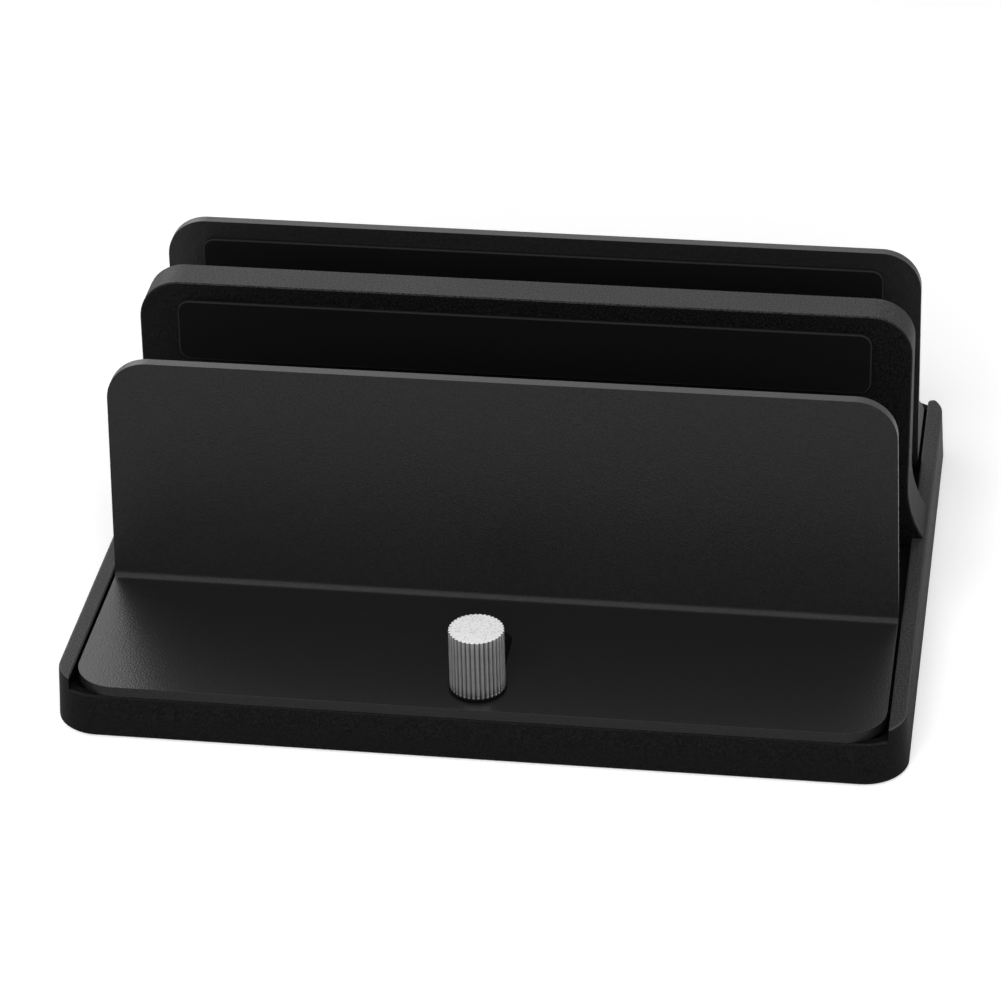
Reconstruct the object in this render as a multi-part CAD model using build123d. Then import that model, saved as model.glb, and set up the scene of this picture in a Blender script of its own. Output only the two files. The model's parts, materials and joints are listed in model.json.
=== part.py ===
from build123d import *
import os
from math import acos, atan2, cos, degrees, radians, sin, tan

# A vertical laptop stand with two slots. Millimetres, +Z up, X along the slots, -Y towards the front.
# The origin lies under the middle of the base, on the surface that the feet stand on.

# Base, with its width, depth and corners measured at the top of the rails
base_width = 200.0
base_depth = 160.0
base_corner_radius = 10.0
base_draft_angle = 3.0
base_floor_height = 10.9
base_rail_height = 13.8
rail_width = 3.9
base_floor_thickness = 3.0
base_skirt_thickness = 3.0
base_top_edge_radius = 0.8
base_bottom_chamfer = 0.4
base_lip_chamfer = 0.4
rail_inner_chamfer = 0.3
rail_tip_share = 0.44
rail_tip_bulge = 0.2
lip_width = 2.3
corner_recess_length = 14.0
corner_recess_depth = 1.5

# Ribs under the base
rib_thickness = 1.8
rib_pitch_x = 31.0
rib_pitch_y = 30.0
rib_setback = 1.0

# Divider wall, moulded in one with the base and thicker at its foot
divider_inset = 5.2
divider_crest_thickness = 9.8
divider_foot_thickness = 15.8
divider_top = 73.2
divider_centre_y = 14.4
divider_corner_radius = 10.0
divider_edge_chamfer = 0.3
divider_flare_radius = 26.0
divider_flare_inset = 1.0
divider_skin = 2.6
divider_web_pitch = 37.0

# Space for the laptops, measured between the bare walls at their crests
front_slot_width = 38.4
rear_slot_width = 23.2

# Bent sheet plates
sheet = 2.6
plate_top = 73.1
plate_corner_radius = 10.0
front_wall_taper = 1.7
rear_wall_taper = 0.6
bend_inner_radius = 1.5
channel_side_gap = 0.8
front_plate_travel = 20.0
rear_plate_travel = 15.0
plate_slot_width = 10.2
plate_slot_end_play = 0.4

# Soft pads
pad_thickness = 1.2
pad_height = 15.8
pad_top_margin = 4.4
pad_side_margin = 9.7
pad_corner_radius = 3.0
floor_pad_thickness = 2.0
floor_pad_side_margin = 6.0
floor_pad_wall_gap = 0.6

# Clamping screws
screw_inset = 9.6
knob_diameter = 13.1
knob_height = 15.3
knurl_teeth = 36
knurl_depth = 0.32
knurl_land = 0.4
knob_bore_depth = 9.0
washer_diameter = 13.5
washer_thickness = 0.8
clamp_gap = 0.05
shoulder_diameter = 9.4
shoulder_fit = 0.05
thread_diameter = 5.9
thread_fit = 0.05
thread_length = 6.6
spigot_diameter = 6.0
insert_diameter = 9.0
insert_length = 7.0
insert_boss_wall = 2.5

# Feet
foot_length = 22.0
foot_width = 12.0
foot_corner_cut = 1.4
foot_proud = 0.6
foot_recess = 1.4
foot_inset = 17.0
foot_seat_wall = 2.0

# Levels and places worked out from the sizes above
base_bottom = foot_proud
floor_top = base_bottom + base_floor_height
rail_top = base_bottom + base_rail_height
flange_top = floor_top + sheet
divider_crest = base_bottom + divider_top
plate_crest = base_bottom + plate_top
base_draft = base_rail_height * tan(radians(base_draft_angle))
rail_tip_radius = rail_tip_share * rail_width
channel_width = base_width - 2 * rail_width
plate_width = channel_width - 2 * channel_side_gap
divider_width = base_width - 2 * divider_inset
divider_front = divider_centre_y - divider_crest_thickness / 2
divider_rear = divider_centre_y + divider_crest_thickness / 2
divider_spread = (divider_foot_thickness - divider_crest_thickness) / 2 / (divider_crest - rail_top)
divider_lean = degrees(atan2(divider_spread, 1))
front_plate_face = divider_front - front_slot_width
rear_plate_face = divider_rear + rear_slot_width
front_screw_y = -base_depth / 2 + screw_inset
rear_screw_y = base_depth / 2 - screw_inset
knob_bottom = flange_top + clamp_gap + washer_thickness


def ring(outer, inner, height):
    """A flat ring standing on z = 0, from its two diameters."""
    return extrude(Circle(outer / 2) - Circle(inner / 2), height)


def foot_plan():
    """Plan of a foot and of its recess, an oblong with its corners cut."""
    oblong = Rectangle(foot_length, foot_width)
    return chamfer(oblong.vertices(), foot_corner_cut)


def foot_places():
    """Centres of the four feet, seen from above."""
    return GridLocations(base_width - 2 * foot_inset, base_depth - 2 * foot_inset, 2, 2).locations


def channel_cutter():
    """The open channel that runs front to back between the rails, with eased upper edges."""
    half = channel_width / 2
    wide = half + rail_inner_chamfer
    easing = rail_top - rail_inner_chamfer
    over = rail_top + base_rail_height
    section = Polyline(
        (-half, floor_top),
        (half, floor_top),
        (half, easing),
        (wide, rail_top),
        (wide, over),
        (-wide, over),
        (-wide, rail_top),
        (-half, easing),
        close=True,
    )
    return extrude(Plane.XZ * make_face(section), base_depth, both=True)


def rail_tip_cutter():
    """What rounds off the rear inner tip of the right-hand rail, in plan a corner outside a circle.

    The circle bulges a little past the rail's inner side and past the round corner of the base.
    """
    inset = rail_tip_radius - rail_tip_bulge
    reach = base_corner_radius - inset
    across = base_corner_radius - rail_width + inset
    along = (reach**2 - across**2) ** 0.5
    middle = Vector(
        base_width / 2 - base_corner_radius + across,
        base_depth / 2 - base_corner_radius + along,
    )
    beyond = middle + Vector(across, along) * (base_corner_radius / reach)
    near = channel_width / 2 - channel_side_gap
    far = base_depth / 2 + rail_width
    corner = Polyline((near, middle.Y), middle, beyond, (beyond.X, far), (near, far), close=True)
    plan = make_face(corner) - Pos(middle.X, middle.Y) * Circle(rail_tip_radius)
    return Pos(0, 0, floor_top) * extrude(plan, base_rail_height)


def corner_recesses():
    """Shallow recesses in the channel floor, behind the lip, that show past the flanges' round corners."""
    width = base_width - 2 * lip_width
    depth = base_depth - 2 * lip_width
    inside = RectangleRounded(width, depth, base_corner_radius - lip_width)
    square = Rectangle(corner_recess_length, corner_recess_length)
    spread_x = channel_width - corner_recess_length
    spread_y = base_depth - corner_recess_length
    corners = Sketch() + [place * square for place in GridLocations(spread_x, spread_y, 2, 2).locations]
    return Pos(0, 0, floor_top) * extrude(corners & inside, -corner_recess_depth)


def divider_outline():
    """Front view of the divider: round top corners, and sides that flare out onto the rails."""
    wall = divider_width / 2
    foot = base_width / 2 - divider_flare_inset
    root = floor_top - base_floor_thickness
    turn = acos(1 - (foot - wall) / divider_flare_radius)
    flare_top = rail_top + divider_flare_radius * sin(turn)
    flare_middle = (
        wall + divider_flare_radius * (1 - cos(turn / 2)),
        flare_top - divider_flare_radius * sin(turn / 2),
    )
    radius = divider_corner_radius
    bulge = radius * (1 - 0.5**0.5)
    bottom = Line((0, root), (foot, root))
    side = Line(bottom @ 1, (foot, rail_top))
    flare = ThreePointArc(side @ 1, flare_middle, (wall, flare_top))
    upright = Line(flare @ 1, (wall, divider_crest - radius))
    corner = ThreePointArc(
        upright @ 1, (wall - bulge, divider_crest - bulge), (wall - radius, divider_crest)
    )
    crest = Line(corner @ 1, (0, divider_crest))
    half = Curve() + [bottom, side, flare, upright, corner, crest]
    return make_face(half + mirror(half, Plane.YZ))


def divider_half(height):
    """Half the divider's thickness at a height, on its sloping faces."""
    return divider_crest_thickness / 2 + divider_spread * (divider_crest - height)


def divider_bar(length, skin):
    """A bar along X with the divider's tapered section, smaller all round by a skin."""
    top = divider_crest - skin
    low = divider_half(base_bottom) - skin
    high = divider_half(top) - skin
    section = Polyline((-low, base_bottom), (low, base_bottom), (high, top), (-high, top), close=True)
    face = Pos(0, divider_centre_y, 0) * (Plane.YZ * make_face(section))
    return extrude(face, length / 2, both=True)


def make_divider():
    """The divider's solid, with its outline eased on both faces."""
    face = Pos(0, divider_centre_y, 0) * (Plane.XZ * divider_outline())
    wall = extrude(face, divider_foot_thickness, both=True) & divider_bar(base_width, 0)
    outline = [e for e in wall.edges() if e.center().Z > rail_top and abs(e.tangent_at(0.5).Y) < 0.5]
    return chamfer(outline, divider_edge_chamfer)


def divider_core():
    """The hollow of the divider, open below, with cross webs."""
    inner_width = divider_width - 2 * divider_corner_radius
    count = int(inner_width // divider_web_pitch)
    cell = (inner_width - (count - 1) * divider_skin) / count
    places = GridLocations(cell + divider_skin, 1, count, 1).locations
    cells = [place * divider_bar(cell, divider_skin) for place in places]
    return Part() + cells


def underside_pockets():
    """Pockets between the ribs under the floor."""
    inner_width = channel_width
    inner_depth = base_depth - 2 * base_skirt_thickness
    count_x = int(inner_width // rib_pitch_x)
    count_y = int(inner_depth // rib_pitch_y)
    cell_x = (inner_width - (count_x - 1) * rib_thickness) / count_x
    cell_y = (inner_depth - (count_y - 1) * rib_thickness) / count_y
    depth = base_floor_height - base_floor_thickness
    places = GridLocations(cell_x + rib_thickness, cell_y + rib_thickness, count_x, count_y)
    cells = Sketch() + [place * Rectangle(cell_x, cell_y) for place in places.locations]
    round_inside = RectangleRounded(inner_width, inner_depth, base_corner_radius - base_skirt_thickness)
    pockets = extrude(Pos(0, 0, base_bottom) * (cells & round_inside), depth)
    step = extrude(Pos(0, 0, base_bottom) * round_inside, rib_setback)
    return pockets + step


def insert_hole(y):
    """The stepped hole for a threaded insert and the end of its screw."""
    pressed = Pos(0, y, floor_top - insert_length) * extrude(Circle(insert_diameter / 2), insert_length)
    run_out = Pos(0, y, base_bottom) * extrude(Circle(thread_diameter / 2 + thread_fit), base_floor_height)
    return pressed + run_out


def make_base():
    """The moulded base: rails, channel, divider, ribs, insert bosses and seats for the feet."""
    foot_print = RectangleRounded(
        base_width + 2 * base_draft, base_depth + 2 * base_draft, base_corner_radius + base_draft
    )
    block = Pos(0, 0, base_bottom) * extrude(foot_print, base_rail_height, taper=base_draft_angle)
    block = fillet(block.edges().group_by(Axis.Z)[-1], base_top_edge_radius)
    block = chamfer(block.edges().group_by(Axis.Z)[0], base_bottom_chamfer)
    block -= channel_cutter()
    lip = [
        edge
        for edge in block.edges().filter_by_position(Axis.Z, floor_top - 0.01, floor_top + 0.01)
        if abs(edge.center().Y) > base_depth / 2 - base_corner_radius
    ]
    block = chamfer(lip, base_lip_chamfer)
    tip = rail_tip_cutter()
    block -= [tip, mirror(tip, Plane.YZ)]
    block -= corner_recesses()
    block += make_divider()
    block -= underside_pockets()
    block -= divider_core()
    boss = extrude(Circle(insert_diameter / 2 + insert_boss_wall), base_floor_height)
    seat_plan = Rectangle(foot_length + 2 * foot_seat_wall, foot_width + 2 * foot_seat_wall)
    seat = extrude(seat_plan, base_floor_height - base_floor_thickness)
    recess = extrude(foot_plan(), foot_recess)
    for y in (front_screw_y, rear_screw_y):
        block += Pos(0, y, base_bottom) * boss
        block -= insert_hole(y)
    for place in foot_places():
        block += Pos(0, 0, base_bottom) * place * seat
        block -= Pos(0, 0, base_bottom) * place * recess
    return block


def make_plate(flange_depth, travel, taper):
    """A bent plate with its inner face on y = 0, its flange towards -Y and its underside on z = 0.

    Each side of its wall leans in by the taper, from the bend up to the crest.
    """
    outer = bend_inner_radius + sheet
    height = plate_crest - floor_top
    slant = 0.5**0.5
    centre = (-outer, outer)
    under = Line((-flange_depth, 0), (-outer, 0))
    bend_outside = ThreePointArc(
        under @ 1, (centre[0] + outer * slant, centre[1] - outer * slant), (0, outer)
    )
    inner_face = Line(bend_outside @ 1, (0, height))
    crest = Line(inner_face @ 1, (-sheet, height))
    outer_face = Line(crest @ 1, (-sheet, outer))
    bend_inside = ThreePointArc(
        outer_face @ 1,
        (centre[0] + bend_inner_radius * slant, centre[1] - bend_inner_radius * slant),
        (-outer, sheet),
    )
    upper = Line(bend_inside @ 1, (-flange_depth, sheet))
    end = Line(upper @ 1, under @ 0)
    border = Curve() + [under, bend_outside, inner_face, crest, outer_face, bend_inside, upper, end]
    plate = extrude(Plane.YZ * make_face(border), plate_width / 2, both=True)
    side = plate_width / 2
    sliver = Polyline((side, outer), (side, height), (side - taper, height), close=True)
    trim = extrude(Plane.XZ * make_face(sliver), outer, both=True)
    plate -= [trim, mirror(trim, Plane.YZ)]
    flange_corners = plate.edges().filter_by(Axis.Z).sort_by(Axis.Y)[:2]
    wall_corners = plate.edges().filter_by(Axis.Y).sort_by(Axis.Z)[-2:]
    plate = fillet(flange_corners + wall_corners, plate_corner_radius)
    reach = travel + 2 * plate_slot_end_play
    slot_middle = screw_inset - flange_depth + travel / 2
    slot = Pos(0, slot_middle, 0) * Rot(0, 0, 90) * SlotCenterToCenter(reach, plate_slot_width)
    return plate - extrude(slot, sheet)


def wall_pad(face_y, crest, wall_width, outward, lean):
    """A soft pad on a wall's face, from where the face meets the wall's crest.

    outward is +1 if the face looks to the rear and -1 to the front, and lean is its slope in degrees.
    """
    outline = RectangleRounded(wall_width - 2 * pad_side_margin, pad_height, pad_corner_radius)
    hung = Plane.XZ * (Pos(0, -pad_top_margin - pad_height / 2) * outline)
    return Pos(0, face_y, crest) * Rot(outward * lean, 0, 0) * extrude(hung, -outward * pad_thickness)


def floor_pad(near, far):
    """A soft pad on the channel floor between two walls."""
    depth = far - near - 2 * floor_pad_wall_gap
    width = channel_width - 2 * floor_pad_side_margin
    return Pos(0, (near + far) / 2, floor_top) * extrude(Rectangle(width, depth), floor_pad_thickness)


def knurl_outline():
    """Plan of a straight knurl: a ring of teeth with narrow flat lands and sharp valleys."""
    pitch = 360 / knurl_teeth
    peak = Vector(knob_diameter / 2, 0)
    valley = Vector(knob_diameter / 2 - knurl_depth, 0)
    half_land = degrees(knurl_land / knob_diameter)
    corners = []
    for tooth in range(knurl_teeth):
        middle = tooth * pitch
        corners.append(peak.rotate(Axis.Z, middle - half_land))
        corners.append(peak.rotate(Axis.Z, middle + half_land))
        corners.append(valley.rotate(Axis.Z, middle + pitch / 2))
    return make_face(Polyline(*corners, close=True))


def make_knob(y):
    """A knurled knob with a blind bore for its screw."""
    body = extrude(knurl_outline(), knob_height) - extrude(Circle(spigot_diameter / 2), knob_bore_depth)
    return Pos(0, y, knob_bottom) * body


def make_washer(y):
    """The plastic washer between a knob and its plate."""
    washer = ring(washer_diameter, shoulder_diameter + 2 * shoulder_fit, washer_thickness)
    return Pos(0, y, flange_top + clamp_gap) * washer


def make_screw(y):
    """A shoulder screw: spigot in the knob, shoulder in the plate's slot, threaded end in the insert."""
    shoulder_bottom = floor_top + clamp_gap
    levels = [
        (thread_diameter / 2, shoulder_bottom - thread_length, shoulder_bottom),
        (shoulder_diameter / 2, shoulder_bottom, knob_bottom),
        (spigot_diameter / 2, knob_bottom, knob_bottom + knob_bore_depth),
    ]
    steps = [Pos(0, y, low) * extrude(Circle(radius), high - low) for radius, low, high in levels]
    return steps[0] + steps[1:]


def make_insert(y):
    """A brass threaded insert, flush with the channel floor."""
    sleeve = ring(insert_diameter, thread_diameter + 2 * thread_fit, insert_length)
    return Pos(0, y, floor_top - insert_length) * sleeve


def make_foot(place):
    """A rubber foot seated in its recess."""
    return place * extrude(foot_plan(), foot_proud + foot_recess)


front_plate = make_plate(front_plate_face + base_depth / 2, front_plate_travel, front_wall_taper)
rear_plate = make_plate(base_depth / 2 - rear_plate_face, rear_plate_travel, rear_wall_taper)
divider_foot_front = divider_centre_y - divider_half(floor_top)
divider_foot_rear = divider_centre_y + divider_half(floor_top)
nodes = {
    "base_body": make_base(),
    "front_plate": Pos(0, front_plate_face, floor_top) * front_plate,
    "rear_plate": Pos(0, rear_plate_face, floor_top) * Rot(0, 0, 180) * rear_plate,
    "front_plate_pad": wall_pad(front_plate_face, plate_crest, plate_width, 1, 0),
    "divider_front_pad": wall_pad(divider_front, divider_crest, divider_width, -1, divider_lean),
    "divider_rear_pad": wall_pad(divider_rear, divider_crest, divider_width, 1, divider_lean),
    "rear_plate_pad": wall_pad(rear_plate_face, plate_crest, plate_width, -1, 0),
    "front_floor_pad": floor_pad(front_plate_face, divider_foot_front),
    "rear_floor_pad": floor_pad(divider_foot_rear, rear_plate_face),
}
for end, screw_y in (("front", front_screw_y), ("rear", rear_screw_y)):
    nodes[f"{end}_knob"] = make_knob(screw_y)
    nodes[f"{end}_washer"] = make_washer(screw_y)
    nodes[f"{end}_screw"] = make_screw(screw_y)
    nodes[f"{end}_insert"] = make_insert(screw_y)
foot_names = ("front_left_foot", "rear_left_foot", "front_right_foot", "rear_right_foot")
for name, place in zip(foot_names, foot_places()):
    nodes[name] = make_foot(place)

os.makedirs("parts", exist_ok=True)
for name, shape in nodes.items():
    export_step(shape, f"parts/{name}.step")
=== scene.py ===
"""Looks of a vertical laptop stand: finishes, soft pads, reeded knobs and a plain photo stage."""

import json
import math

import bpy
import numpy as np
from bpy.props import FloatProperty, FloatVectorProperty, IntProperty, PointerProperty
from mathutils import Matrix, Vector

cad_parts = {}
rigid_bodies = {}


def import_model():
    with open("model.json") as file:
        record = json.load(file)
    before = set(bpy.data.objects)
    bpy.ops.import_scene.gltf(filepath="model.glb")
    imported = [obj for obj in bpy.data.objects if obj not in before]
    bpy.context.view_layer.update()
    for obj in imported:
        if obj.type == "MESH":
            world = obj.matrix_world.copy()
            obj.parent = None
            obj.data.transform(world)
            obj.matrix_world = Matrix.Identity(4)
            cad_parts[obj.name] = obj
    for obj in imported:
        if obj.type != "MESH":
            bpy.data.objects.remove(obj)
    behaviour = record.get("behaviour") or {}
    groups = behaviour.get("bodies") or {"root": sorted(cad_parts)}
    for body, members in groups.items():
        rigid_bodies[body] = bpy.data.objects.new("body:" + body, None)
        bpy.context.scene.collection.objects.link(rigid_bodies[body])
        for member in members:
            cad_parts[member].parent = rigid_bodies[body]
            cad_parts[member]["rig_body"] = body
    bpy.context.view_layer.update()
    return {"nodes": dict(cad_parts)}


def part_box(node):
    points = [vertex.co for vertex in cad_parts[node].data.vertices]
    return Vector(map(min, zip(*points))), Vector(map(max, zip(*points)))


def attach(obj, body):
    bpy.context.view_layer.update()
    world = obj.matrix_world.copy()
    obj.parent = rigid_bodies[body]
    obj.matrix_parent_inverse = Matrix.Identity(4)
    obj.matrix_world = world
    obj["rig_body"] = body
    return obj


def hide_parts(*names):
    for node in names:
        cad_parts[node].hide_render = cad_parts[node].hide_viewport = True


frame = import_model()

bl_info = {
    "name": "Laptop Stand Finishes",
    "version": (1, 0, 0),
    "blender": (4, 5, 0),
    "location": "3D View > Sidebar > Stand",
    "description": "Gives a vertical laptop stand its finishes, pads, knobs and stage",
    "category": "Object",
}

NODES = frame["nodes"]
MM = 0.001
WHITE = (1.0, 1.0, 1.0, 1.0)

# The pieces, with the way that each wall pad looks
FORWARD, REARWARD, UPWARD, DOWNWARD = (0, -1, 0), (0, 1, 0), (0, 0, 1), (0, 0, -1)
WALL_PADS = {
    "front_plate_pad": REARWARD,
    "divider_front_pad": FORWARD,
    "divider_rear_pad": REARWARD,
    "rear_plate_pad": FORWARD,
}
FLOOR_PADS = ("front_floor_pad", "rear_floor_pad")
FEET = ("front_left_foot", "rear_left_foot", "front_right_foot", "rear_right_foot")
PLATES = ("front_plate", "rear_plate")
ENDS = ("front", "rear")

# Width and depth of the grain in the finishes, and width of their clouds
PIT_WIDTH, PIT_DEPTH, PLASTIC_CLOUD = 0.45 * MM, 0.13 * MM, 18.0 * MM
COAT_GRAIN, COAT_DEPTH, COAT_CLOUD = 0.44 * MM, 0.08 * MM, 25.0 * MM
RUBBER_GRAIN, RUBBER_DEPTH = 0.16 * MM, 0.02 * MM
BLAST_GRAIN, RING_WIDTH, KNOB_DEPTH = 0.35 * MM, 0.1 * MM, 0.2 * MM
WASHER_GRAIN, WASHER_DEPTH, WASHER_EDGE = 0.25 * MM, 0.02 * MM, 0.15 * MM
TURNING_SCALE, TURNING_DEPTH = 0.3 / MM, 0.02 * MM
PAPER_FIBRE = 2.0 * MM
# Where most of a noise lies
MIDDLE = (0.3, 0.7)
BEVEL_SAMPLES = 6

# Where the base's painted highlight, painted top light and painted shade start and end: in the upward part of a
# face's normal
SLOPE_IN, SLOPE_OUT = (0.6, 0.72), (0.84, 0.95)
TOP_IN, FLAT_IN = (0.5, 0.9), (0.9, 0.98)
# And in heights from the rails' tops and from the channel's floor
OVER_RAILS, UNDER_RAILS = (0.0, 0.5 * MM), (-2.0 * MM, -1.5 * MM)
OVER_CHANNEL = (0.1 * MM, 0.4 * MM)

# Divisions of the pads and knobs, and the shares that set their inner rings
PAD_CORNER_STEPS = 9
PAD_ROLL_STEPS = 6
PAD_BACK_EASE = 0.04
PAD_FACE_START = 1.15
PAD_FACE_SHRINKS = (0.97, 0.9, 0.75, 0.5, 0.25)
PAD_CREASE = math.radians(50)
LEAST_FACING = 0.9
REED_STEPS = 12
REED_POWER = 0.7
KNOB_SIDE_STEPS = 6
KNOB_EDGE_STEPS = 4
KNOB_ROOF_SHARE = 0.3
KNOB_CAP_SHRINKS = (0.97, 0.85, 0.5)
KNOB_CREASE = math.radians(40)

# Stage: the floor's divisions, and the places along Y where its mirrored tone goes from far, to the painted shade
# near the stand, and to behind
FLOOR_STEPS = 96
FLOOR_NEAR, FLOOR_BEHIND = (-0.22, -0.1), (-0.085, 0.05)
# The world in reflections: an axis, where along it the dimming starts and ends, and the setting with its level
DIMMINGS = (
    ("X", -0.1, 0.3, "side_mirrored"),
    ("X", -0.4, -0.8, "side_mirrored"),
    ("Y", 0.0, -0.4, "front_mirrored"),
)
# Softboxes: name, azimuth and elevation in degrees, the setting with the power, and whether reflections show it
SOFTBOXES = (
    ("front_softbox", 0.0, 36.0, "key_power", False),
    ("back_softbox", -138.0, 30.0, "back_power", True),
    ("left_softbox", -80.0, 35.0, "left_power", True),
    ("right_softbox", 80.0, 35.0, "right_power", True),
)
SENSOR_WIDTH = 36.0
CLIP_START = 0.01


def length(name, description, default):
    """A property that holds a length in metres."""
    return FloatProperty(name=name, description=description, default=default, unit="LENGTH", precision=5)


def colour(name, description, default):
    """A property that holds a linear colour."""
    return FloatVectorProperty(
        name=name, description=description, default=default, subtype="COLOR", size=3, min=0.0, max=1.0
    )


def angle(name, description, degrees):
    """A property that holds an angle, given here in degrees."""
    return FloatProperty(name=name, description=description, default=math.radians(degrees), subtype="ANGLE")


def strength(name, description, default):
    """A property that holds a plain number from 0 up."""
    return FloatProperty(name=name, description=description, default=default, min=0.0)


def power(name, description, default):
    """A property that holds a lamp's power."""
    return FloatProperty(name=name, description=description, default=default, unit="POWER")


class StandSizes(bpy.types.PropertyGroup):
    """Fine sizes of the pieces that are modelled here, and levels that the finishes follow."""

    pad_corner: length("Pad corner", "Corner radius of the soft pads on the walls", 3.0 * MM)
    pad_roll: length("Pad edge", "Rounding round the face of a wall pad", 0.35 * MM)
    pad_crown: length("Pad crown", "How far the middle of a wall pad rises over its rim", 0.08 * MM)
    floor_pad_corner: length("Floor pad corner", "Corner radius of the strips on the slot floors", 0.8 * MM)
    floor_pad_roll: length("Floor pad edge", "Rounding along the strips on the slot floors", 0.6 * MM)
    foot_corner: length("Foot corner", "Corner radius of a rubber foot", 2.5 * MM)
    foot_roll: length("Foot edge", "Rounding round the tread of a rubber foot", 0.4 * MM)
    reed_count: IntProperty(name="Reeds", description="Reeds round a knob", default=36, min=8, max=120)
    reed_depth: length("Reed depth", "Depth of the valleys between the reeds of a knob", 0.45 * MM)
    knob_edge: length("Knob edge", "Rounding round the top of a knob", 0.06 * MM)
    knob_bore: length("Knob bore", "Diameter of the bore that takes the screw", 6.0 * MM)
    knob_bore_depth: length("Knob bore depth", "Depth of the bore that takes the screw", 9.0 * MM)
    sheet_edge: length("Sheet edge", "Softness of the coated sheet's edges", 0.16 * MM)
    mould_edge: length("Mould edge", "Softness of the moulded base's edges", 0.15 * MM)
    rail_level: length("Rail level", "Height of the rails' flat tops", 14.4 * MM)
    channel_level: length("Channel level", "Height of the channel's floor", 11.5 * MM)


class StandColours(bpy.types.PropertyGroup):
    """Colours of the finishes."""

    plastic: colour("Base plastic", "Moulded black plastic", (0.0022, 0.0022, 0.0023))
    # Painted highlight: plastic lighter on the rails' round edges, where light catches them
    painted_edge_highlight: colour("Painted edge highlight", "Plastic on the round edges of the rails", (0.045, 0.045, 0.046))
    # Painted top light: plastic lighter on the upward faces of the rails and the divider's crest
    painted_top_light: colour("Painted top light", "Plastic on top of the rails and the divider", (0.036, 0.036, 0.0366))
    coat: colour("Plate coat", "Satin black coat of the bent plates", (0.0082, 0.0082, 0.0083))
    pad: colour("Pad rubber", "Soft black rubber of the pads", (0.002, 0.002, 0.002))
    # Painted highlight: the rim of a pad is lighter than its face
    pad_rim_highlight: colour("Pad rim", "Smoother rubber round the rim of a pad", (0.01, 0.01, 0.01))
    knob: colour("Knob metal", "Satin aluminium of the knobs", (0.56, 0.56, 0.57))
    knob_top: colour("Knob top", "Blasted aluminium on top of the knobs", (0.93, 0.93, 0.93))
    # Painted shade: metal darker between the reeds, where shade falls
    valley_shade: colour("Knob valleys", "Darker metal between the reeds", (0.03, 0.03, 0.031))
    washer: colour("Washer plastic", "Black plastic of the washers", (0.0015, 0.0015, 0.0015))
    steel: colour("Screw steel", "Turned steel of the screws", (0.56, 0.56, 0.57))
    brass: colour("Insert brass", "Brass of the threaded inserts", (0.72, 0.5, 0.2))
    foot: colour("Foot rubber", "Black rubber of the feet", (0.01, 0.01, 0.01))
    floor: colour("Floor", "Pale floor", (0.82, 0.82, 0.82))


class StandStage(bpy.types.PropertyGroup):
    """Camera, floor and light."""

    azimuth: angle("Azimuth", "How far the camera stands to the right of the front", 9.083)
    elevation: angle("Elevation", "How far the camera looks down", 31.015)
    roll: angle("Roll", "How far the camera is tipped", -1.464)
    distance: length("Distance", "From the camera to its target", 1.0291)
    lens: FloatProperty(name="Lens", description="Focal length", default=151.95, unit="CAMERA")
    target: FloatVectorProperty(
        name="Target",
        description="Point that the camera looks at",
        default=(-3.18 * MM, -10.0 * MM, 28.58 * MM),
        subtype="TRANSLATION",
        unit="LENGTH",
        precision=5,
    )
    floor_radius: length("Floor radius", "Radius of the round floor", 4.0)
    fill: strength("Fill", "Strength of the light from all round", 0.25)
    floor_lift: strength("Floor lift", "Glow that takes the floor up to white", 0.36)
    floor_far: colour("Front floor", "Floor well in front, as the finishes mirror it", (0.36, 0.36, 0.36))
    # Painted shade: the floor close in front is mirrored darker, as the stand's shadow
    floor_near_shade: colour("Near floor", "Floor close in front, as the finishes mirror it", (0.24, 0.24, 0.24))
    side_mirrored: strength("Sides", "How bright the finishes mirror what is left and right", 0.5)
    front_mirrored: strength("Front", "How bright the finishes mirror what is in front", 0.35)
    key_power: power("Key power", "Power of the front softbox", 24.0)
    left_power: power("Left power", "Power of the left softbox", 1.5)
    right_power: power("Right power", "Power of the right softbox", 3.3)
    back_power: power("Back power", "Power of the rear softbox", 4.0)
    lamp_size: length("Softbox size", "Width of a softbox", 1.0)
    lamp_distance: length("Softbox distance", "From a softbox to the stand", 1.5)


class Wiring:
    """A node tree in the making, with short calls to add nodes and join them."""

    def __init__(self, tree):
        self.tree = tree

    def feed(self, socket, value):
        """Sets an input to a value, or joins it to another node's output."""
        if isinstance(value, bpy.types.NodeSocket):
            self.tree.links.new(value, socket)
        else:
            socket.default_value = value

    def add(self, kind, values=None, **settings):
        """Adds a node, sets its options, and sets or joins its inputs, given by name or number."""
        node = self.tree.nodes.new(kind)
        for name, value in settings.items():
            setattr(node, name, value)
        for name, value in (values or {}).items():
            self.feed(node.inputs[name], value)
        return node

    def axis(self, vector, name):
        """The X, Y or Z of a vector."""
        return self.add("ShaderNodeSeparateXYZ", {"Vector": vector}).outputs[name]

    def maths(self, operation, first, second):
        """Two numbers joined by a Math node."""
        return self.add("ShaderNodeMath", {0: first, 1: second}, operation=operation).outputs["Value"]

    def spread(self, factor, low, high, start=0.0, end=1.0):
        """Maps a factor from start to end onto numbers from low to high."""
        values = {"Value": factor, "From Min": start, "From Max": end, "To Min": low, "To Max": high}
        return self.add("ShaderNodeMapRange", values).outputs["Result"]


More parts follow.
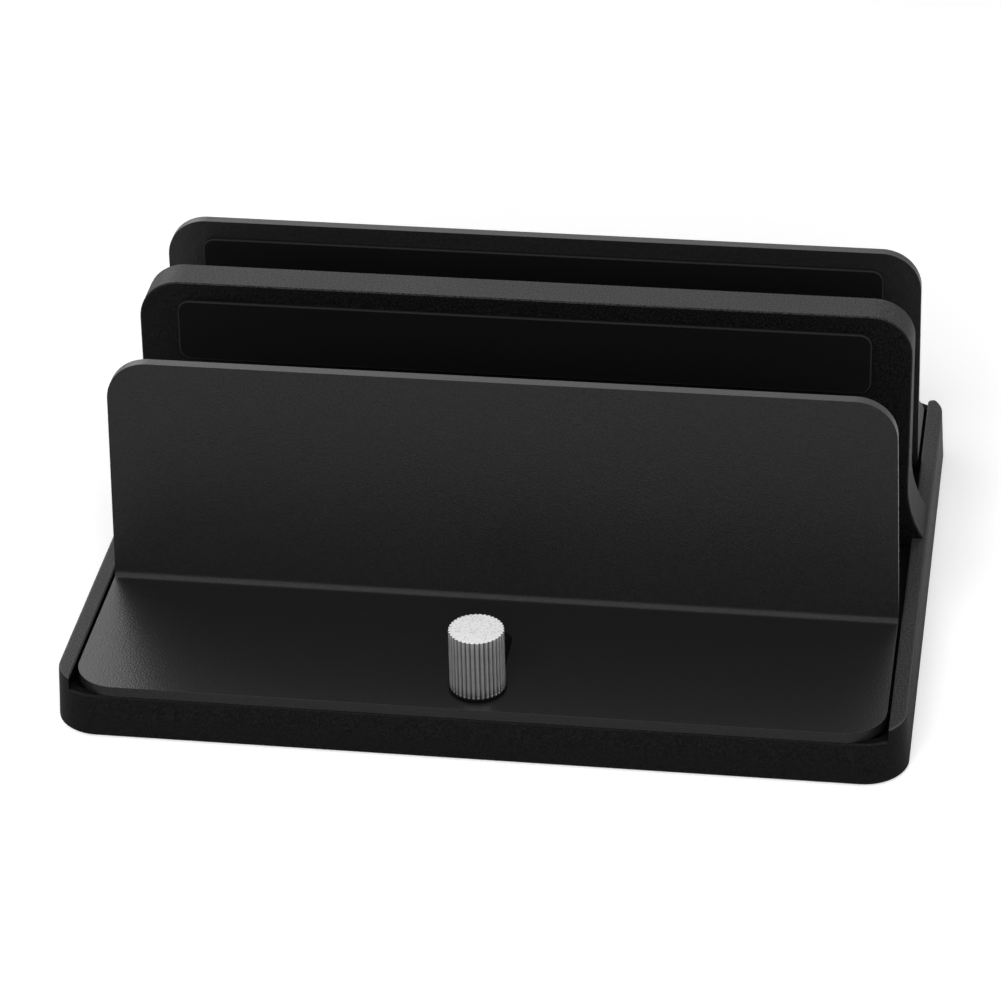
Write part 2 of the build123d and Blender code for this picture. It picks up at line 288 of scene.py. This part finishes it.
class Finish(Wiring):
    """A material in the making."""

    def __init__(self, name):
        self.material = bpy.data.materials.new(name)
        self.material.use_nodes = True
        super().__init__(self.material.node_tree)

    def surface(self, **values):
        """Feeds the shader's inputs, with spaces written as underscores, and returns the material."""
        shader = self.tree.nodes["Principled BSDF"]
        for name, value in values.items():
            self.feed(shader.inputs[name.replace("_", " ")], value)
        return self.material

    def place(self):
        """The position on the piece, in metres."""
        return self.add("ShaderNodeTexCoord").outputs["Object"]

    def value(self, name):
        """A value stored on the piece's points."""
        return self.add("ShaderNodeAttribute", attribute_name=name).outputs["Fac"]

    def noise(self, vector, width, detail=2.0):
        """Soft noise whose blobs are about as wide as the given width."""
        values = {"Vector": vector, "Scale": 1.0 / width, "Detail": detail}
        return self.add("ShaderNodeTexNoise", values).outputs["Fac"]

    def rising(self, value, start, end):
        """A mask that is 0 before the start and 1 after the end."""
        return self.spread(value, 0.0, 1.0, start, end)

    def falling(self, value, start, end):
        """A mask that is 1 before the start and 0 after the end."""
        return self.spread(value, 1.0, 0.0, start, end)

    def product(self, first, second):
        """Two masks multiplied."""
        return self.maths("MULTIPLY", first, second)

    def shades(self, factor, dark, light, start=0.0, end=1.0):
        """Maps a factor from start to end onto two colours."""
        ramp = self.add("ShaderNodeValToRGB", {"Fac": factor})
        for element, position, tint in zip(ramp.color_ramp.elements, (start, end), (dark, light)):
            element.position = position
            element.color = (*tint, 1.0)
        return ramp.outputs["Color"]

    def blend(self, factor, first, second):
        """Goes from a first colour to a second one as the factor goes from 0 to 1."""
        node = self.add("ShaderNodeMix", {"Factor": factor}, data_type="RGBA")
        sockets = [socket for socket in node.inputs if socket.type == "RGBA"]
        for socket, tint in zip(sockets, (first, second)):
            self.feed(socket, tint if isinstance(tint, bpy.types.NodeSocket) else (*tint, 1.0))
        return next(socket for socket in node.outputs if socket.type == "RGBA")

    def relief(self, height, depth, share, edge=0.0):
        """A normal from a share of a height map, on top of edges softened to a radius."""
        values = {"Height": height, "Distance": depth, "Strength": share}
        if edge > 0.0:
            values["Normal"] = self.add("ShaderNodeBevel", {"Radius": edge}, samples=BEVEL_SAMPLES).outputs["Normal"]
        return self.add("ShaderNodeBump", values).outputs["Normal"]


def tinted(tint, share):
    """A colour times a share."""
    return tuple(share * value for value in tint)


def shifted(span, level):
    """A span of heights counted from a level."""
    return tuple(level + offset for offset in span)


def moulded_plastic(sizes, colours):
    """Matte black plastic with the fine pitted grain of a spark-eroded mould.

    Painted top light makes the rails' tops and the divider's crest paler, a painted highlight makes the rails' round
    edges palest, and painted shade darkens the channel's floor, which is also rougher.
    """
    finish = Finish("moulded_plastic")
    place = finish.place()
    height = finish.axis(place, "Z")
    rise = finish.axis(finish.add("ShaderNodeNewGeometry").outputs["Normal"], "Z")
    low = finish.falling(height, *shifted(OVER_RAILS, sizes.rail_level))
    high = finish.rising(height, *shifted(UNDER_RAILS, sizes.rail_level))
    sunk = finish.falling(height, *shifted(OVER_CHANNEL, sizes.channel_level))
    # Painted highlight on the sloping faces of the rails' round edges
    sloping = finish.product(finish.rising(rise, *SLOPE_IN), finish.falling(rise, *SLOPE_OUT))
    painted_edge_highlight = finish.product(sloping, finish.product(low, high))
    # Painted top light on the upward faces from the rails' tops up
    topmost = finish.product(finish.rising(rise, *TOP_IN), high)
    # The channel's floor: rougher, and darkened by painted shade
    dull_and_painted_shade = finish.product(finish.rising(rise, *FLAT_IN), sunk)
    pits = finish.noise(place, PIT_WIDTH, detail=1.5)
    cloud = finish.noise(place, PLASTIC_CLOUD)
    bare_plastic = finish.shades(pits, tinted(colours.plastic, 0.4), tinted(colours.plastic, 2.6), start=0.4, end=0.7)
    # Painted top light, speckled by the pits
    pale = finish.shades(pits, tinted(colours.painted_top_light, 0.15), colours.painted_top_light, start=0.38, end=0.6)
    # Painted highlight over painted top light over the plain plastic
    plastic_with_painted_light = finish.blend(painted_edge_highlight, finish.blend(topmost, bare_plastic, pale), colours.painted_edge_highlight)
    return finish.surface(
        # Painted shade darkens the channel's floor
        Base_Color=finish.blend(dull_and_painted_shade, plastic_with_painted_light, tinted(colours.plastic, 0.3)),
        Roughness=finish.spread(dull_and_painted_shade, finish.spread(cloud, 0.46, 0.54), 1.0),
        Specular_IOR_Level=0.25,
        Normal=finish.relief(pits, PIT_DEPTH, 0.8, sizes.mould_edge),
    )


def satin_coat(sizes, colours):
    """Satin black coat on sheet metal, with a fine even grain and faint cloudiness."""
    finish = Finish("satin_coat")
    place = finish.place()
    grain = finish.noise(place, COAT_GRAIN, detail=1.5)
    cloud = finish.noise(place, COAT_CLOUD)
    return finish.surface(
        Base_Color=finish.shades(grain, tinted(colours.coat, 0.75), tinted(colours.coat, 1.3), *MIDDLE),
        Roughness=finish.spread(cloud, 0.33, 0.38),
        Specular_IOR_Level=0.65,
        Normal=finish.relief(grain, COAT_DEPTH, 0.8, sizes.sheet_edge),
    )


def soft_rubber(name, tint, rim_highlight_tint):
    """Dull rubber with a fine powdery grain, and a smoother rim that is painted lighter as a highlight."""
    finish = Finish(name)
    grain = finish.noise(finish.place(), RUBBER_GRAIN)
    rim = finish.value("rim")
    return finish.surface(
        # The rim is painted lighter as a highlight
        Base_Color=finish.shades(rim, tint, rim_highlight_tint),
        Roughness=finish.spread(rim, finish.spread(grain, 0.72, 0.86, *MIDDLE), 0.5),
        Specular_IOR_Level=0.2,
        Normal=finish.relief(grain, RUBBER_DEPTH, 0.5),
    )


def satin_aluminium(colours):
    """Aluminium with fine turning rings on the reeds, painted shade between them, and blasted pale on top."""
    finish = Finish("satin_aluminium")
    place = finish.place()
    grain = finish.noise(place, BLAST_GRAIN)
    upright = finish.add("ShaderNodeCombineXYZ", {"Z": finish.axis(place, "Z")}).outputs["Vector"]
    rings = finish.noise(upright, RING_WIDTH, detail=1.0)
    top = finish.value("top")
    # Painted shade: darker towards the bottom of each groove between the reeds
    reeds = finish.shades(finish.value("ridge"), colours.valley_shade, colours.knob)
    blasted = finish.shades(grain, tinted(colours.knob_top, 0.55), colours.knob_top, start=0.25, end=0.5)
    return finish.surface(
        Base_Color=finish.blend(top, reeds, blasted),
        Metallic=finish.spread(top, 0.95, 0.2),
        Roughness=finish.spread(top, 0.3, 0.55),
        Normal=finish.relief(finish.spread(top, rings, grain), KNOB_DEPTH, finish.spread(top, 1.0, 0.4)),
    )


def washer_plastic(colours):
    """Plain black plastic with a faint stamped grain."""
    finish = Finish("washer_plastic")
    grain = finish.noise(finish.place(), WASHER_GRAIN)
    return finish.surface(
        Base_Color=finish.shades(grain, tinted(colours.washer, 0.8), tinted(colours.washer, 1.2), *MIDDLE),
        Roughness=finish.spread(grain, 0.55, 0.65, *MIDDLE),
        Specular_IOR_Level=0.15,
        Normal=finish.relief(grain, WASHER_DEPTH, 0.4, WASHER_EDGE),
    )


def turned_metal(name, tint, roughness):
    """Turned metal: fine rings across its axis, which is upright."""
    finish = Finish(name)
    rings = finish.add(
        "ShaderNodeTexWave",
        {"Vector": finish.place(), "Scale": TURNING_SCALE, "Distortion": 1.5, "Detail": 2.0},
        bands_direction="Z",
    ).outputs["Fac"]
    return finish.surface(
        Base_Color=finish.shades(rings, tinted(tint, 0.85), tint, *MIDDLE),
        Metallic=1.0,
        Roughness=finish.spread(rings, roughness, roughness + 0.12),
        Normal=finish.relief(rings, TURNING_DEPTH, 0.5),
    )


def give(node, material):
    """Puts a material in a CAD node's slots."""
    mesh = NODES[node].data
    mesh.materials.clear()
    mesh.materials.append(material)


def corners_of(node):
    """A CAD node's vertices as an array."""
    mesh = NODES[node].data
    points = np.empty(len(mesh.vertices) * 3, np.float32)
    mesh.vertices.foreach_get("co", points)
    return points.reshape(-1, 3).astype(float)


def main_normal(node, towards):
    """Mean normal, weighted by area, of the faces of a CAD node that look about the given way."""
    mesh = NODES[node].data
    count = len(mesh.polygons)
    normals = np.empty(count * 3, np.float32)
    areas = np.empty(count, np.float32)
    mesh.polygons.foreach_get("normal", normals)
    mesh.polygons.foreach_get("area", areas)
    normals = normals.reshape(-1, 3).astype(float)
    facing = normals @ np.asarray(towards, float) > LEAST_FACING
    total = (normals[facing] * areas[facing, None]).sum(axis=0)
    return total / np.linalg.norm(total)


def skin(rings):
    """Vertices and faces of a closed skin through rings of points, with a fan over each end.

    Ring i and ring i + 1 are joined by quads, and the first and last rings by triangles to their middles.
    """
    count, around, _ = rings.shape
    poles = np.stack([rings[0].mean(axis=0), rings[-1].mean(axis=0)])
    points = np.concatenate([rings.reshape(-1, 3), poles])
    step = np.arange(around)
    after = np.roll(step, -1)
    row = np.arange(count - 1)[:, None] * around
    quads = np.stack([row + step, row + after, row + around + after, row + around + step], axis=-1)
    last = (count - 1) * around
    first_fan = np.stack([after, step, np.full(around, len(points) - 2)], axis=-1)
    last_fan = np.stack([last + step, last + after, np.full(around, len(points) - 1)], axis=-1)
    return points, [*quads.reshape(-1, 4).tolist(), *first_fan.tolist(), *last_fan.tolist()]


def make_piece(name, points, faces, material, crease):
    """A mesh object at the origin, smooth but for edges sharper than the crease angle."""
    mesh = bpy.data.meshes.new(name)
    mesh.from_pydata(points.tolist(), [], faces)
    mesh.polygons.foreach_set("use_smooth", np.ones(len(mesh.polygons), bool))
    mesh.set_sharp_from_angle(angle=crease)
    mesh.materials.append(material)
    mesh.validate()
    piece = bpy.data.objects.new(name, mesh)
    bpy.context.scene.collection.objects.link(piece)
    return piece


def store(piece, name, values):
    """Stores a value at each of a piece's points."""
    attribute = piece.data.attributes.new(name, "FLOAT", "POINT")
    attribute.data.foreach_set("value", np.asarray(values, np.float32))


def stands_for(piece, node):
    """Lets a piece take a CAD node's place, on the node's body."""
    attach(piece, NODES[node]["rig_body"])
    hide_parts(node)


def pad_rings(width, height, thickness, corner, roll, crown):
    """Rings of points over a flat pad with rounded corners and a rounded rim, its back on z = 0.

    A ring is the outline of a rounded rectangle set in by some distance: the corner centres plus the
    corner radius less the inset, along the outward normal. The inset and height run up the side, round
    a quarter circle at the rim, and over the face, which rises by the crown times 1 - s * s towards the
    middle as the ring shrinks by the factor s. The rim value is 1 on the quarter circle.
    """
    turn = np.linspace(0.0, math.pi / 2, PAD_CORNER_STEPS) + np.arange(4)[:, None] * math.pi / 2
    normal = np.stack([np.cos(turn), np.sin(turn)], axis=-1)
    signs = np.array([(1, 1), (-1, 1), (-1, -1), (1, -1)])[:, None, :]
    centres = signs * (np.array([width, height]) / 2 - corner)
    quarter = np.linspace(0.0, math.pi / 2, PAD_ROLL_STEPS)
    ease = PAD_BACK_EASE * roll
    inset = np.concatenate([[ease, 0.0], roll * (1 - np.cos(quarter)), [PAD_FACE_START * roll]])
    level = np.concatenate([[0.0, ease], thickness - roll + roll * np.sin(quarter), [thickness]])
    flat = centres + (corner - inset[:, None, None, None]) * normal
    flat = flat.reshape(len(inset), -1, 2)
    shrink = np.array(PAD_FACE_SHRINKS)[:, None, None]
    plan = np.concatenate([flat, shrink * flat[-1]])
    heights = np.concatenate([level, thickness + crown * (1 - shrink[:, 0, 0] ** 2)])
    heights = np.broadcast_to(heights[:, None, None], (*plan.shape[:2], 1))
    rim = np.zeros(plan.shape[:2])
    rim[2 : 2 + PAD_ROLL_STEPS] = 1.0
    return np.concatenate([plan, heights], axis=-1), rim


def make_pad(node, towards, corner, roll, crown, material):
    """A soft pad in the place of a CAD node, with its face towards a direction.

    Its size and place are the spans of the node along the pad's own axes.
    """
    out = main_normal(node, towards)
    along = np.array([1.0, 0.0, 0.0])
    up = np.cross(out, along)
    axes = np.stack([along, up, out])
    spans = corners_of(node) @ axes.T
    low, high = spans.min(axis=0), spans.max(axis=0)
    width, height, thickness = high - low
    middle = np.array([*(low + high)[:2] / 2, low[2]])
    rings, rim = pad_rings(width, height, thickness - crown, corner, roll, crown)
    points, faces = skin((rings + middle) @ axes)
    piece = make_piece(f"soft_{node}", points, faces, material, PAD_CREASE)
    store(piece, "rim", [*rim.ravel(), 0.0, 0.0])
    stands_for(piece, node)
    return piece


def knob_rings(sizes, radius, height):
    """Rings of points over a reeded knob that stands on z = 0, from the roof of its bore to its top.

    The profile goes down the bore, out along the underside, up the side and round the top edge. On the
    side the radius is r - depth + depth * |cos(n * t / 2)| ** power for n reeds at the angle t, which gives
    broad reeds with sharp valleys. The share of that depth is the ridge value, and the top value is 1 on top.
    """
    around = sizes.reed_count * REED_STEPS
    turn = np.arange(around) / around * 2 * math.pi
    reed = np.abs(np.cos(turn * sizes.reed_count / 2)) ** REED_POWER
    edge = sizes.knob_edge
    depth = sizes.knob_bore_depth
    quarter = np.linspace(0.0, math.pi / 2, KNOB_EDGE_STEPS)[1:]
    upright = np.linspace(edge, height - edge, KNOB_SIDE_STEPS)
    side = np.concatenate([[-edge], np.zeros(KNOB_SIDE_STEPS), -edge * (1 - np.cos(quarter))])
    side_level = np.concatenate([[0.0], upright, height - edge + edge * np.sin(quarter)])
    inner = np.array([KNOB_ROOF_SHARE, 1.0, 1.0])[:, None] * (sizes.knob_bore / 2) * np.ones_like(turn)
    outer = radius + side[:, None] - sizes.reed_depth * (1 - reed)
    cap = np.array(KNOB_CAP_SHRINKS)[:, None] * outer[-1]
    radii = np.concatenate([inner, outer, cap])
    level = np.concatenate([[depth, depth, 0.0], side_level, np.full(len(cap), height)])
    levels = level[:, None] * np.ones_like(turn)
    ridge = np.concatenate([np.ones_like(inner), np.broadcast_to(reed, outer.shape), np.ones_like(cap)])
    top = np.zeros_like(ridge)
    top[-1 - len(cap) :] = 1.0
    return np.stack([radii * np.cos(turn), radii * np.sin(turn), levels], axis=-1), ridge, top


def make_knob(node, sizes, material):
    """A reeded knob in the place of a CAD knob, which reflections leave out."""
    low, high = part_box(node)
    middle = np.array([(low.x + high.x) / 2, (low.y + high.y) / 2, low.z])
    rings, ridge, top = knob_rings(sizes, (high.x - low.x) / 2, high.z - low.z)
    points, faces = skin(rings + middle)
    piece = make_piece(f"reeded_{node}", points, faces, material, KNOB_CREASE)
    store(piece, "ridge", [*ridge.ravel(), 1.0, 1.0])
    store(piece, "top", [*top.ravel(), 0.0, 1.0])
    piece.visible_glossy = False
    stands_for(piece, node)


class STAND_OT_base(bpy.types.Operator):
    """Gives the moulded base its matte plastic"""

    bl_idname = "stand.base"
    bl_label = "Finish Base"

    def execute(self, context):
        scene = context.scene
        give("base_body", moulded_plastic(scene.stand_sizes, scene.stand_colours))
        return {"FINISHED"}


class STAND_OT_plates(bpy.types.Operator):
    """Gives the two bent plates their satin coat"""

    bl_idname = "stand.plates"
    bl_label = "Finish Plates"

    def execute(self, context):
        scene = context.scene
        coat = satin_coat(scene.stand_sizes, scene.stand_colours)
        for node in PLATES:
            give(node, coat)
        return {"FINISHED"}


class STAND_OT_pads(bpy.types.Operator):
    """Makes the soft pads on the walls and on the slot floors"""

    bl_idname = "stand.pads"
    bl_label = "Make Pads"

    def execute(self, context):
        sizes = context.scene.stand_sizes
        colours = context.scene.stand_colours
        rubber = soft_rubber("pad_rubber", colours.pad, colours.pad_rim_highlight)
        for node, towards in WALL_PADS.items():
            pad = make_pad(node, towards, sizes.pad_corner, sizes.pad_roll, sizes.pad_crown, rubber)
        for node in FLOOR_PADS:
            pad = make_pad(node, UPWARD, sizes.floor_pad_corner, sizes.floor_pad_roll, 0.0, rubber)
        return {"FINISHED"}


class STAND_OT_feet(bpy.types.Operator):
    """Makes the rubber feet"""

    bl_idname = "stand.feet"
    bl_label = "Make Feet"

    def execute(self, context):
        sizes = context.scene.stand_sizes
        colours = context.scene.stand_colours
        # The feet's rims are painted lighter as a highlight
        rubber = soft_rubber("foot_rubber", colours.foot, tinted(colours.foot, 1.3))
        for node in FEET:
            make_pad(node, DOWNWARD, sizes.foot_corner, sizes.foot_roll, 0.0, rubber)
        return {"FINISHED"}


class STAND_OT_clamps(bpy.types.Operator):
    """Makes the knobs and finishes the washers, screws and inserts"""

    bl_idname = "stand.clamps"
    bl_label = "Make Clamping Screws"

    def execute(self, context):
        sizes = context.scene.stand_sizes
        colours = context.scene.stand_colours
        aluminium = satin_aluminium(colours)
        plastic = washer_plastic(colours)
        steel = turned_metal("turned_steel", colours.steel, roughness=0.25)
        brass = turned_metal("turned_brass", colours.brass, roughness=0.3)
        for end in ENDS:
            make_knob(f"{end}_knob", sizes, aluminium)
            give(f"{end}_washer", plastic)
            give(f"{end}_screw", steel)
            give(f"{end}_insert", brass)
        return {"FINISHED"}


def floor_paper(stage, colours):
    """White paper to the eye, which shows shadows, and which the finishes mirror darker in front, with painted shade
    close in front of the stand.
    """
    finish = Finish("floor_paper")
    path = finish.add("ShaderNodeLightPath").outputs
    place = finish.place()
    paper = finish.shades(finish.noise(place, PAPER_FIBRE), tinted(colours.floor, 0.99), colours.floor, *MIDDLE)
    rearward = finish.axis(place, "Y")
    # Painted shade: the floor close in front of the stand is mirrored darker
    in_front = finish.blend(finish.rising(rearward, *FLOOR_NEAR), stage.floor_far, stage.floor_near_shade)
    mirrored = finish.blend(finish.rising(rearward, *FLOOR_BEHIND), in_front, colours.floor)
    return finish.surface(
        Base_Color=finish.blend(path["Is Glossy Ray"], paper, mirrored),
        Roughness=0.9,
        Specular_IOR_Level=0.0,
        Emission_Color=WHITE,
        Emission_Strength=finish.spread(path["Is Camera Ray"], 0.0, stage.floor_lift),
    )


def pale_floor(stage, colours):
    """A flat floor whose rim is a circle of the floor's radius."""
    turn = np.linspace(0.0, 2 * math.pi, FLOOR_STEPS, endpoint=False)
    rim = np.stack([np.cos(turn), np.sin(turn), np.zeros_like(turn)], axis=-1) * stage.floor_radius
    mesh = bpy.data.meshes.new("floor")
    mesh.from_pydata(rim.tolist(), [], [list(range(len(rim)))])
    mesh.materials.append(floor_paper(stage, colours))
    floor = bpy.data.objects.new("floor", mesh)
    bpy.context.scene.collection.objects.link(floor)


def white_world(stage):
    """Even light from all round, which shows as white to the eye.

    In reflections it is white at the back, and dimmer at the sides and the front.
    """
    world = bpy.data.worlds.new("studio")
    world.use_nodes = True
    wiring = Wiring(world.node_tree)
    path = wiring.add("ShaderNodeLightPath").outputs
    direction = wiring.add("ShaderNodeTexCoord").outputs["Generated"]
    seen = path["Is Glossy Ray"]
    for axis, start, end, setting in DIMMINGS:
        dimmed = wiring.spread(wiring.axis(direction, axis), 1.0, getattr(stage, setting), start, end)
        seen = wiring.maths("MULTIPLY", seen, dimmed)
    for ray in ("Is Camera Ray", "Is Transmission Ray"):
        seen = wiring.maths("MAXIMUM", seen, path[ray])
    background = world.node_tree.nodes["Background"]
    wiring.feed(background.inputs["Color"], WHITE)
    wiring.feed(background.inputs["Strength"], wiring.spread(seen, stage.fill, 1.0))
    bpy.context.scene.world = world


def away(azimuth, elevation):
    """Unit vector from the stand towards a place round it, from the front and turning to the right."""
    level = math.cos(elevation)
    return Vector((math.sin(azimuth) * level, -math.cos(azimuth) * level, math.sin(elevation)))


def softbox(name, stage, out, energy, mirrored):
    """A wide soft light that stands out along a unit vector and looks at the stand."""
    lamp = bpy.data.lights.new(name, "AREA")
    lamp.shape = "SQUARE"
    lamp.size = stage.lamp_size
    lamp.energy = energy
    box = bpy.data.objects.new(name, lamp)
    box.location = out * stage.lamp_distance
    box.rotation_euler = (-out).to_track_quat("-Z", "Y").to_euler()
    box.visible_glossy = mirrored
    bpy.context.scene.collection.objects.link(box)


def photo_camera(stage):
    """A camera that looks at the target from the given angles and distance, tipped by the roll."""
    back = away(stage.azimuth, stage.elevation)
    right = Vector((math.cos(stage.azimuth), math.sin(stage.azimuth), 0.0))
    up = back.cross(right)
    tipped_right = right * math.cos(stage.roll) + up * math.sin(stage.roll)
    tipped_up = up * math.cos(stage.roll) - right * math.sin(stage.roll)
    lens = bpy.data.cameras.new("photo_camera")
    lens.lens = stage.lens
    lens.sensor_width = SENSOR_WIDTH
    lens.clip_start = CLIP_START
    camera = bpy.data.objects.new("photo_camera", lens)
    camera.matrix_world = Matrix.LocRotScale(
        Vector(stage.target) + back * stage.distance,
        Matrix((tipped_right, tipped_up, back)).transposed(),
        None,
    )
    bpy.context.scene.collection.objects.link(camera)
    bpy.context.scene.camera = camera


class STAND_OT_stage(bpy.types.Operator):
    """Sets up the floor, the light and the camera"""

    bl_idname = "stand.stage"
    bl_label = "Set Stage"

    def execute(self, context):
        stage = context.scene.stand_stage
        pale_floor(stage, context.scene.stand_colours)
        white_world(stage)
        for name, azimuth, elevation, setting, mirrored in SOFTBOXES:
            out = away(math.radians(azimuth), math.radians(elevation))
            softbox(name, stage, out, getattr(stage, setting), mirrored)
        photo_camera(stage)
        context.scene.view_settings.view_transform = "Standard"
        return {"FINISHED"}


class STAND_PT_panel(bpy.types.Panel):
    """Lists the stand's pieces and their settings"""

    bl_idname = "STAND_PT_panel"
    bl_label = "Laptop Stand"
    bl_space_type = "VIEW_3D"
    bl_region_type = "UI"
    bl_category = "Stand"

    def draw(self, context):
        for operator in OPERATORS:
            self.layout.operator(operator.bl_idname)
        for group in GROUPS:
            settings = getattr(context.scene, group)
            box = self.layout.box()
            for name in settings.bl_rna.properties.keys():
                if name not in ("rna_type", "name"):
                    box.prop(settings, name)


OPERATORS = (
    STAND_OT_base,
    STAND_OT_plates,
    STAND_OT_pads,
    STAND_OT_feet,
    STAND_OT_clamps,
    STAND_OT_stage,
)
GROUPS = {"stand_sizes": StandSizes, "stand_colours": StandColours, "stand_stage": StandStage}
CLASSES = (*GROUPS.values(), *OPERATORS, STAND_PT_panel)


def register():
    """Registers the classes and hangs the settings on the scene."""
    for kind in CLASSES:
        bpy.utils.register_class(kind)
    for name, group in GROUPS.items():
        setattr(bpy.types.Scene, name, PointerProperty(type=group))


def unregister():
    """Takes the settings off the scene and unregisters the classes."""
    for name in GROUPS:
        delattr(bpy.types.Scene, name)
    for kind in reversed(CLASSES):
        bpy.utils.unregister_class(kind)


def main():
    """Makes every piece and the stage."""
    register()
    bpy.ops.stand.base()
    bpy.ops.stand.plates()
    bpy.ops.stand.pads()
    bpy.ops.stand.feet()
    bpy.ops.stand.clamps()
    bpy.ops.stand.stage()
    bpy.context.view_layer.update()


if __name__ == "__main__":
    main()
